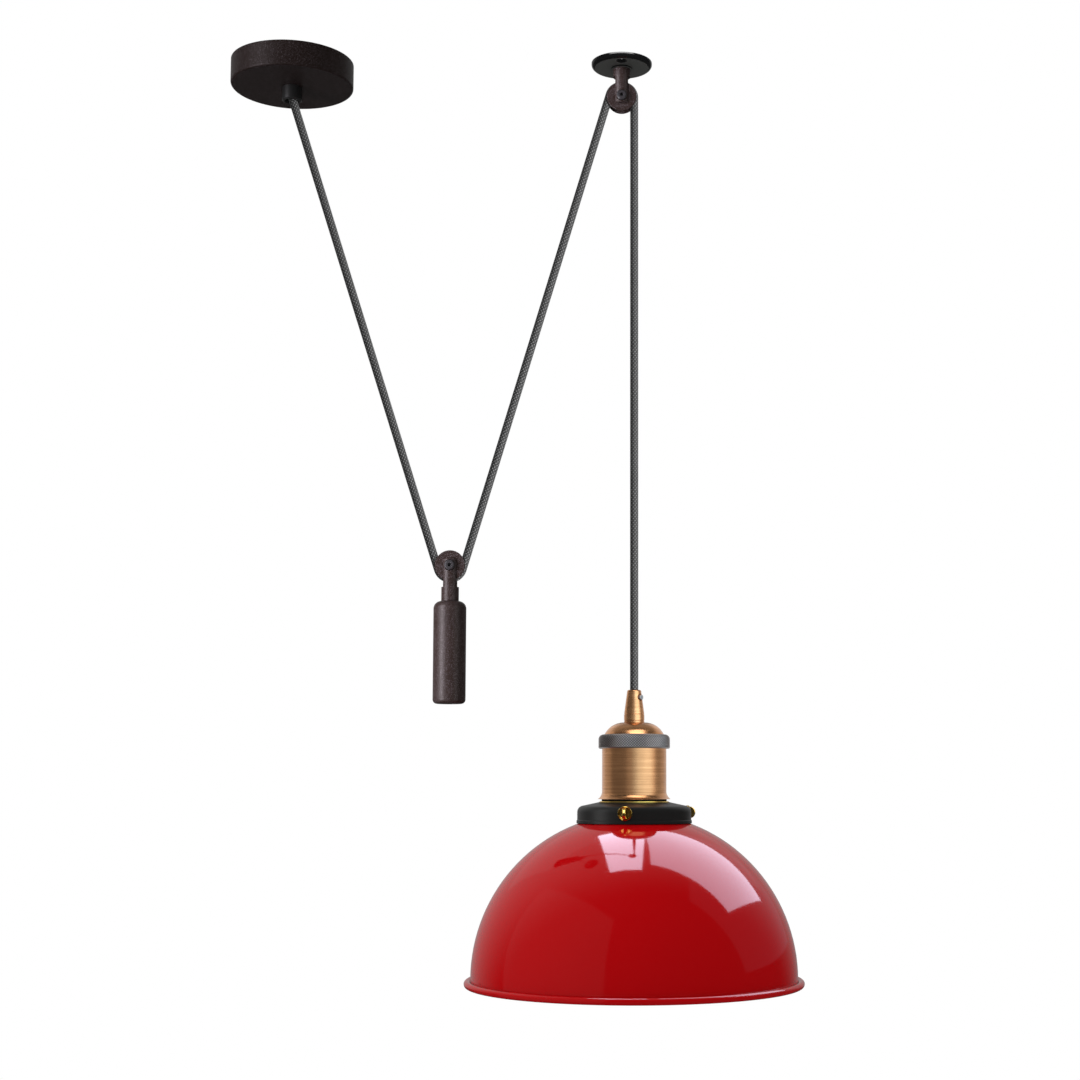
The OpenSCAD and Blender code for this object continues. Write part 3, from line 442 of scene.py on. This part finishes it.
def arc(centre, radius, start, end, count=60):
    """Points of an arc in the flex's plane; angles in radians from +X towards +Z."""
    turn = np.linspace(start, end, count)
    return centre + radius * np.stack([np.cos(turn), np.sin(turn)], axis=1)


def evenly(points, step):
    """The same line with its points a step apart, and the length at each."""
    gaps = np.linalg.norm(np.diff(points, axis=0), axis=1)
    length = np.concatenate([[0], np.cumsum(gaps)])
    count = max(2, int(round(length[-1] / step)) + 1)
    at = np.linspace(0, length[-1], count)
    return np.stack([np.interp(at, length, points[:, i]) for i in range(2)], axis=1), at


def braid_height(u, v):
    """0..1: two sets of threads that cross, each over the other in turn."""
    right, left = u + v, u - v
    over = (np.floor(right) + np.floor(left)) % 2
    across = np.where(over > 0.5, left, right) % 1
    along = np.where(over > 0.5, right, left) % 1
    return np.sqrt(np.clip(1 - (2 * across - 1) ** 2, 0, 1)) * (0.45 + 0.55 * np.sin(np.pi * along))


def flex_length(name, points, node, begun=0.0):
    """A braided tube along points of the plane y = 0; begun is the flex's length before it."""
    line, at = evenly(np.asarray(points, float), BRAID_STEP)
    along = np.gradient(line, axis=0)
    along /= np.linalg.norm(along, axis=1)[:, None]
    side = np.stack([along[:, 1], -along[:, 0]], axis=1)
    turn = np.linspace(0, 2 * math.pi, BRAID_SEGMENTS, endpoint=False)
    u = turn / (2 * math.pi) * BRAID_CARRIERS
    v = (begun + at) / BRAID_PITCH
    height = braid_height(u[None, :], v[:, None])
    radius = FLEX_R - BRAID_RELIEF * (1 - height) + BRAID_PROUD
    x = line[:, None, 0] + side[:, None, 0] * radius * np.cos(turn)
    z = line[:, None, 1] + side[:, None, 1] * radius * np.cos(turn)
    y = radius * np.sin(turn)
    vertices = np.stack([x, y, z], axis=-1).reshape(-1, 3)
    rings, around = len(line), BRAID_SEGMENTS
    faces = quads(rings, around)
    corner_uv = []
    for i in range(rings - 1):
        for j in range(around):
            u0, u1 = (n * BRAID_CARRIERS / around for n in (j, j + 1))
            corner_uv += [(u0, v[i]), (u1, v[i]), (u1, v[i + 1]), (u0, v[i + 1])]
    for start, order in ((0, -1), ((rings - 1) * around, 1)):
        faces.append(tuple(start + j for j in range(around))[::order])
        corner_uv += [(0, 0)] * around
    piece = new_mesh(name, vertices, faces, "braid")
    layer = piece.data.uv_layers.new(name="braid")
    layer.data.foreach_set("uv", np.array(corner_uv, np.float32).ravel())
    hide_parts(node)
    return piece


def straighten(piece, start, end):
    """Makes a blended length stay straight: each point moves in step with its place along it."""
    mesh = piece.data
    co = np.empty(len(mesh.vertices) * 3)
    mesh.vertices.foreach_get("co", co)
    run = np.array(end) - np.array(start)
    share = np.clip((co.reshape(-1, 3) - np.array(start)) @ run / (run @ run), 0, 1)
    mesh.attributes["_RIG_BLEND"].data.foreach_set("value", share.astype(np.float32))


def from_xz(point):
    return (point[0], 0.0, point[1])


# Slope of each arm of the V from the vertical, as a common tangent of two circles
tail_centre = np.array([TAIL_BEND_R, rose_underside - TAIL_BEND_DROP])
arm = tail_centre - lower_axle
rise = upper_axle - lower_axle
left_slope = math.atan2(-arm[0], arm[1]) + math.asin((TAIL_BEND_R - RUN_R) / np.linalg.norm(arm))
right_slope = math.atan2(rise[0], rise[1]) - math.asin(2 * RUN_R / np.linalg.norm(rise))

tail_end = tail_centre - TAIL_BEND_R * np.array([math.cos(left_slope), math.sin(left_slope)])
lower_left = lower_axle - RUN_R * np.array([math.cos(left_slope), math.sin(left_slope)])
lower_right = lower_axle + RUN_R * np.array([math.cos(right_slope), -math.sin(right_slope)])
upper_left = upper_axle + RUN_R * np.array([-math.cos(right_slope), math.sin(right_slope)])
drop_start = np.array([lamp_axis.x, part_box("flex_upper_loop")[0].z])
drop_end = np.array([lamp_axis.x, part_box("flex_lamp_tail")[1].z])
lamp_end = np.array([lamp_axis.x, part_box("flex_lamp_tail")[0].z])
tail_top = np.array([0.0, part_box("flex_tail")[1].z])

bend = arc(tail_centre, TAIL_BEND_R, math.pi, math.pi + left_slope)
tail = flex_length("braid_tail", np.vstack([tail_top[None], bend]), "flex_tail")
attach(tail, "ceiling")

rose_arm = flex_length("braid_rose_arm", [tail_end, lower_left], "flex_rose_arm", ROSE_ARM_FROM)
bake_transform(rose_arm, "ceiling", "flex_carriage", from_xz(tail_end), from_xz(lower_left))
straighten(rose_arm, from_xz(tail_end), from_xz(lower_left))

under = arc(lower_axle, RUN_R, math.pi + left_slope, 2 * math.pi - right_slope)
lower_loop = flex_length("braid_lower_loop", under, "flex_lower_loop", LOWER_LOOP_FROM)
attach(lower_loop, "flex_carriage")

rising_arm = flex_length(
    "braid_rising_arm", [lower_right, upper_left], "flex_rising_arm", RISING_ARM_FROM
)
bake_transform(rising_arm, "ceiling", "flex_carriage", from_xz(upper_left), from_xz(lower_right))
straighten(rising_arm, from_xz(upper_left), from_xz(lower_right))

over = arc(upper_axle, RUN_R, math.pi - right_slope, 0)
over_and_down = np.vstack([over, drop_start[None]])
upper_loop = flex_length("braid_upper_loop", over_and_down, "flex_upper_loop", UPPER_LOOP_FROM)
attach(upper_loop, "ceiling")

drop = flex_length("braid_drop", [drop_start, drop_end], "flex_drop", DROP_FROM)
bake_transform(drop, "drop_flex", "lamp", from_xz(drop_start), from_xz(drop_end))
straighten(drop, from_xz(drop_start), from_xz(drop_end))

lamp_tail = flex_length(
    "braid_lamp_tail", [drop_end, lamp_end], "flex_lamp_tail", LAMP_TAIL_FROM
)
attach(lamp_tail, "lamp")

# ---- knurled ring ----------------------------------------------------------------------


def knurled_ring():
    """The ring's outline turned round the lamp's axis, with diamonds rolled into its outside."""
    low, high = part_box("holder_ring")
    outer_r = (high.x - low.x) / 2
    lip = high.z - RING_LIP_H
    foot, shoulder = low.z + RING_CHAMFER, high.z - RING_ROUND_R
    wall = [(outer_r - RING_CHAMFER, low.z), (outer_r, foot)]
    rows = int((shoulder - low.z - RING_CHAMFER) / KNURL_ROW)
    wall += [(outer_r, z) for z in np.linspace(foot, shoulder, rows)[1:]]
    corner = np.array([outer_r - RING_ROUND_R, shoulder])
    for bend in np.linspace(0, math.pi / 2, 26)[1:]:
        wall.append(tuple(corner + RING_ROUND_R * np.array([math.cos(bend), math.sin(bend)])))
    inside = [(RING_LIP_R, high.z), (RING_LIP_R, lip), (RING_BORE_R, lip), (RING_BORE_R, low.z)]
    outline = np.array(wall + inside)
    run = np.concatenate([[0], np.cumsum(np.linalg.norm(np.diff(outline, axis=0), axis=1))])
    turn = np.linspace(0, 2 * math.pi, KNURL_SEGMENTS, endpoint=False)
    u = turn / (2 * math.pi) * KNURL_COUNT
    v = run / KNURL_PITCH
    right = np.abs((u[None, :] + v[:, None]) % 1 - 0.5) * 2
    left = np.abs((u[None, :] - v[:, None]) % 1 - 0.5) * 2
    crest = 1 - np.clip((np.maximum(right, left) - KNURL_FLAT) / (1 - KNURL_FLAT), 0, 1)
    # Neither the chamfer nor the last of the round is knurled
    knurled = np.zeros(len(outline))
    knurled[2:len(wall) - 3] = 1
    crest = np.where(knurled[:, None] > 0, crest, KNURL_PLAIN)
    depth = KNURL_DEPTH * (1 - crest) * knurled[:, None]
    tangent = np.gradient(outline, axis=0)
    tangent /= np.linalg.norm(tangent, axis=1)[:, None]
    out = np.stack([tangent[:, 1], -tangent[:, 0]], axis=1)
    r = outline[:, None, 0] - out[:, None, 0] * depth
    z = outline[:, None, 1] - out[:, None, 1] * depth
    x = lamp_axis.x + r * np.cos(turn)
    y = r * np.sin(turn)
    vertices = np.stack([x, y, z + 0 * x], axis=-1).reshape(-1, 3)
    faces = quads(len(outline), KNURL_SEGMENTS, rows_close=True)
    piece = new_mesh("knurled_ring", vertices, faces, "pewter", smooth=False)
    # The crest value saved on the mesh sets the ring's painted shade in its grooves.
    attribute = piece.data.attributes.new("crest", "FLOAT", "POINT")
    attribute.data.foreach_set("value", crest.astype(np.float32).ravel())
    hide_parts("holder_ring")
    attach(piece, "lamp")
    return piece


ring = knurled_ring()

# ---- thumb screws ----------------------------------------------------------------------


def lathe(profile, count):
    """Points (radius, height) turned round the local axis, with a flat face over each end."""
    turn = np.linspace(0, 2 * math.pi, count, endpoint=False)
    r, h = np.array(profile).T
    x = r[:, None] * np.cos(turn)
    y = r[:, None] * np.sin(turn)
    vertices = np.stack([x, y, h[:, None] + 0 * x], axis=-1).reshape(-1, 3)
    faces = quads(len(profile), count)
    faces.append(tuple(range(count))[::-1])
    faces.append(tuple((len(profile) - 1) * count + j for j in range(count)))
    return vertices, faces


def paddle():
    """Upright grip of the screw: a round-edged slab whose outline is an arc."""
    centre = THUMB_FACE + THUMB_PADDLE_OUT - THUMB_PADDLE_R
    foot = THUMB_FACE + 0.3 * THUMB_DISC_T
    reach = math.acos((foot - centre) / THUMB_PADDLE_R)
    turn = np.linspace(-reach, reach, 49)
    across = np.linspace(-1, 1, 15)
    inset = THUMB_PADDLE_ROUND * (1 - np.sqrt(1 - across ** 4))
    vertices = []
    for a in turn:
        for w, drawn in zip(across, inset):
            r = THUMB_PADDLE_R - drawn
            height = max(centre + r * math.cos(a), foot)
            vertices.append((r * math.sin(a), w * THUMB_PADDLE_HALF, height))
    wide = len(across)
    faces = quads(len(turn), wide, rows_close=True, columns_close=False)
    faces.append(tuple(i * wide for i in range(len(turn))))
    faces.append(tuple(i * wide + wide - 1 for i in range(len(turn)))[::-1])
    return np.array(vertices), faces


def thumb_screws():
    """Three screws with a dished, rimmed disc and a paddle, in the places of the CAD's."""
    height = middle("gallery_screws").z
    front = math.radians(THUMB_TURN - 90)
    back, top = THUMB_FACE, THUMB_FACE + THUMB_DISC_T
    outline = [
        (THUMB_SHANK_R, back - THUMB_SHANK), (THUMB_SHANK_R, back),
        (THUMB_DISC_R - THUMB_EDGE, back), (THUMB_DISC_R, back + THUMB_EDGE),
    ]
    outline += [(THUMB_DISC_R - inward * MM, top - down * MM) for inward, down in THUMB_FRONT]
    shells = (lathe(outline, THUMB_SEGMENTS), paddle())
    vertices, faces = [], []
    for i in range(THUMB_COUNT):
        a = front + i * 2 * math.pi / THUMB_COUNT
        out = np.array([math.cos(a), math.sin(a), 0])
        side = np.array([-math.sin(a), math.cos(a), 0])
        up = np.array([0, 0, 1])
        for points, shell in shells:
            start = len(vertices)
            placed = points @ np.array([up, -side, out]) + (lamp_axis.x, 0, height)
            vertices += [tuple(v) for v in placed]
            faces += [tuple(start + n for n in corners) for corners in shell]
    piece = new_mesh("thumb_screws", vertices, faces, "brass")
    piece.data.set_sharp_from_angle(angle=math.radians(40))
    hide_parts("gallery_screws")
    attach(piece, "lamp")
    return piece


screws = thumb_screws()

# ---- floor, background and light -------------------------------------------------------


def white_floor():
    mesh = bpy.data.meshes.new("floor")
    corners = [(x * FLOOR_HALF, y * FLOOR_HALF) for x, y in ((-1, -1), (1, -1), (1, 1), (-1, 1))]
    mesh.from_pydata([(x, y, FLOOR_Z) for x, y in corners], [], [(0, 1, 2, 3)])
    floor = bpy.data.objects.new("floor", mesh)
    bpy.context.scene.collection.objects.link(floor)
    material, tree, bsdf = new_material("pale_floor")
    put(tree, bsdf, Base_Color=(0.8, 0.8, 0.8, 1), Roughness=0.9)
    path = add(tree, "LightPath")
    glow = add(tree, "Emission", {"Color": (1, 1, 1, 1), "Strength": 1.0})
    dim = add(tree, "Emission", {"Color": (1, 1, 1, 1), "Strength": 0.05})
    glossy, seen = path.outputs["Is Glossy Ray"], path.outputs["Is Camera Ray"]
    matt = add(tree, "MixShader", {0: glossy, 1: bsdf.outputs[0], 2: dim.outputs[0]})
    blend = add(tree, "MixShader", {0: seen, 1: matt.outputs[0], 2: glow.outputs[0]})
    tree.links.new(blend.outputs[0], tree.nodes["Material Output"].inputs[0])
    mesh.materials.append(material)


def white_world(fill, front, back):
    """White to the eye; fill lights matt surfaces. Shiny ones reflect a studio that is dim in
    front, and bright behind and above the object."""
    world = bpy.data.worlds.new("studio")
    bpy.context.scene.world = world
    world.use_nodes = True
    tree = world.node_tree
    path = add(tree, "LightPath")
    towards = add(tree, "TexCoord").outputs["Generated"]
    lean = add(tree, "VectorMath", {0: towards, 1: (-0.15, 0.75, 0.64)}, operation="DOT_PRODUCT")
    ramp = {
        "Value": lean.outputs["Value"], "From Min": 0.2, "From Max": 0.95,
        "To Min": front, "To Max": back,
    }
    gloss = add(tree, "MapRange", ramp, interpolation_type="SMOOTHSTEP").outputs[0]
    level = add(tree, "Mix", {0: path.outputs["Is Glossy Ray"], 2: fill, 3: gloss}).outputs[0]
    level = add(tree, "Mix", {0: path.outputs["Is Camera Ray"], 2: level, 3: 1.0}).outputs[0]
    background = tree.nodes["Background"]
    background.inputs[0].default_value = (1, 1, 1, 1)
    tree.links.new(level, background.inputs[1])


def group(name, nodes, extra=()):
    """Pieces that one light alone is meant for."""
    collection = bpy.data.collections.new(name)
    for node in nodes:
        collection.objects.link(frame["nodes"][node])
    for piece in extra:
        collection.objects.link(piece)
    return collection


def panel(name, azimuth, elevation, distance, width, height, radiance, at, lights,
          tint=PLAIN, across=None, gloss=True, matt=True):
    """Flat softbox seen from a point at azimuth (0 towards the viewer, + to the right).
    across is the direction of its width. Without gloss it shows in no reflection, and
    without matt in nothing else."""
    a, e = math.radians(azimuth), math.radians(elevation)
    out = Vector((math.sin(a) * math.cos(e), -math.cos(a) * math.cos(e), math.sin(e)))
    light = bpy.data.lights.new(name, "AREA")
    light.shape = "RECTANGLE"
    light.size, light.size_y = width, height
    light.energy = radiance * math.pi * width * height
    light.color = tint
    lamp = bpy.data.objects.new(name, light)
    bpy.context.scene.collection.objects.link(lamp)
    lamp.location = Vector(at) + out * distance
    side = Vector(across) if across else Vector((0, 0, 1)).cross(out)
    side = (side - side.dot(out) * out).normalized()
    turn = Matrix((side, out.cross(side), out)).transposed()
    lamp.rotation_mode = "QUATERNION"
    lamp.rotation_quaternion = turn.to_quaternion()
    lamp.visible_glossy = gloss
    lamp.visible_diffuse = matt
    lamp.light_linking.receiver_collection = lights
    return lamp


holder = tuple(lamp_axis)
weight = tuple(middle("weight_barrel"))
rose = tuple(middle("rose_cup"))
plate = tuple(middle("pulley_plate"))
thumb = (lamp_axis.x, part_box("gallery_screws")[0].y, middle("gallery_screws").z)

enamelled = group("enamelled", ["shade"])
turned = group(
    "turned",
    ["holder_grip", "holder_cap", "holder_body", "holder_grip_screw", "brass_washer"],
    [ring],
)
capped = group("capped", ["holder_grip", "holder_cap"])
thumbs = group("thumbs", [], [screws])
coated = group(
    "coated",
    [
        "weight_barrel", "weight_plug", "lower_fork", "lower_wheel", "lower_axle_screw",
        "upper_fork", "upper_wheel", "upper_axle_screw",
    ],
)
cupped = group("cupped", ["rose_cup", "rose_grip"])
plated = group("plated", ["pulley_plate"])
ringed = group("ringed", ["gallery"])
sleeved = group(
    "sleeved", [], [tail, rose_arm, lower_loop, rising_arm, upper_loop, drop, lamp_tail]
)

white_floor()
white_world(fill=0.69, front=0.02, back=0.42)

# Softboxes: azimuth, elevation, distance, width, height and radiance, then the point that they
# are set round, the pieces that they light and their tint
panel("left_wall", -60, 4, 1.9, 3.2, 4.2, 0.10, dome, enamelled)
panel("left_key", -75, 38, 1.9, 3.2, 3.2, 0.66, dome, enamelled, gloss=False)
panel("right_key", 108, 25, 1.9, 2.6, 2.6, 0.34, dome, enamelled, gloss=False)
panel("right_wall", 112, 34, 1.9, 2.6, 2.2, 0.12, dome, enamelled, DAYLIGHT, matt=False)
panel("top_key", -115, 66, 1.9, 2.6, 2.6, 0.40, dome, enamelled, gloss=False)
panel("back_glow", 180, 44, 2.2, 3.6, 1.5, 0.10, dome, enamelled, matt=False)
panel(
    "window_left", -160, 76, 1.95, 0.62, 1.5, 9.4, dome, enamelled, DAYLIGHT,
    across=(1, 0, 0), matt=False,
)
panel(
    "window_right", 122, 53, 1.76, 1.64, 1.4, 5.0, dome, enamelled, DAYLIGHT,
    across=(1.37, -0.06, -0.9), matt=False,
)

# Upright strips round the holder, edge to edge: azimuth, width in degrees, radiance, tint
STRIPS = [
    (-147, 46, 0.6, PLAIN), (-106, 32, 0.5, PLAIN), (-58, 64, 0.2, PLAIN),
    (-15, 22, 0.42, PLAIN), (3, 14, 1.05, COOL), (21, 22, 2.0, COOL), (49, 34, 2.45, COOL),
    (72, 12, 1.2, PLAIN), (94, 32, 0.36, PLAIN), (140, 60, 0.6, PLAIN),
]
for i, (azimuth, wide, radiance, tint) in enumerate(STRIPS):
    width = 2 * STRIP_DISTANCE * math.tan(math.radians(wide / 2))
    panel(
        f"strip_{i}", azimuth, 0, STRIP_DISTANCE, width, STRIP_HEIGHT, radiance,
        holder, turned, tint,
    )
panel("cap_light", 16, 62, 1.5, 1.2, 0.8, 3.4, holder, turned)
panel("cone_right", 38, 18, 1.5, 1.5, 1.2, 1.1, holder, capped, COOL)

panel("thumb_above", -14, 44, 1.2, 0.5, 1.35, 5.0, thumb, thumbs)
panel("thumb_left", -125, 10, 1.2, 0.5, 1.0, 3.0, thumb, thumbs)
panel("thumb_right", 90, 20, 1.2, 0.5, 1.0, 4.0, thumb, thumbs)
panel("gallery_left", -72, 12, 1.6, 0.8, 2.0, 1.0, holder, ringed)
panel("weight_left", -52, 4, 1.6, 0.42, 2.4, 36.0, weight, coated, (0.95, 0.93, 1.0))
panel("weight_right", 52, 4, 1.6, 0.45, 2.4, 3.6, weight, coated)
panel("rose_left", -50, -6, 1.6, 0.9, 1.6, 5.2, rose, cupped, (0.97, 0.94, 1.0))
panel("plate_front", 0, 24, 1.5, 3.0, 0.26, 9.0, plate, plated)
panel("flex_right", 48, 0, 1.8, 0.35, 2.6, 32.0, weight, sleeved)

scene = bpy.context.scene
scene.view_settings.view_transform = "Standard"
scene.view_settings.look = "None"
